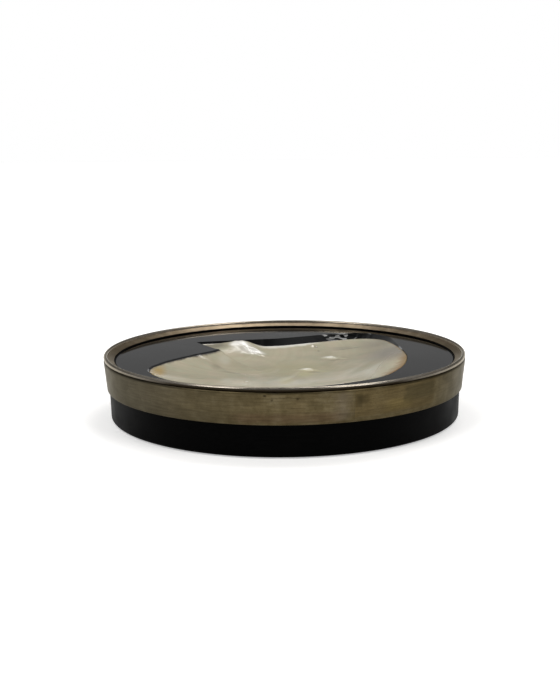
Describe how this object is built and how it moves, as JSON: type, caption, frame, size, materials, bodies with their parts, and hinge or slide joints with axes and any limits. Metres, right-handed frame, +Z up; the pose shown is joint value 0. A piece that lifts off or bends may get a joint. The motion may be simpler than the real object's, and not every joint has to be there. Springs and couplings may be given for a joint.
{
  "type": "trinket tray",
  "caption": "Low round tray with a concave pearl shell let into a glossy black top, a moulded metal rim and a tapered metal band on a black wooden plinth.",
  "frame": {"origin": "middle of the underside, on the surface that the tray stands on", "axes": "+Z up; -Y is the front, where the band's seam lies a little to the right; +X to the right, seen from the front"},
  "size_m": [0.2, 0.2, 0.0355],
  "materials": {
    "felt": "matt pressed felt",
    "ebonised_wood": "satin black stain and varnish",
    "filler": "rough set filler",
    "mother_of_pearl": "polished nacre with a soft lustre",
    "black_resin": "poured and polished to a mirror gloss",
    "brass_strip": "plain rolled brass",
    "band_metal": "silvered brass with a dull tarnish",
    "rim_metal": "silvered brass, burnished at the bead"
  },
  "bodies": {
    "root": {"felt_pad": "felt", "plinth": "ebonised_wood", "upper_board": "ebonised_wood", "shell_bed": "filler", "shell": "mother_of_pearl", "resin_field": "black_resin", "seam_strip": "brass_strip", "band": "band_metal", "rim_ring": "rim_metal"}
  },
  "joints": []
}
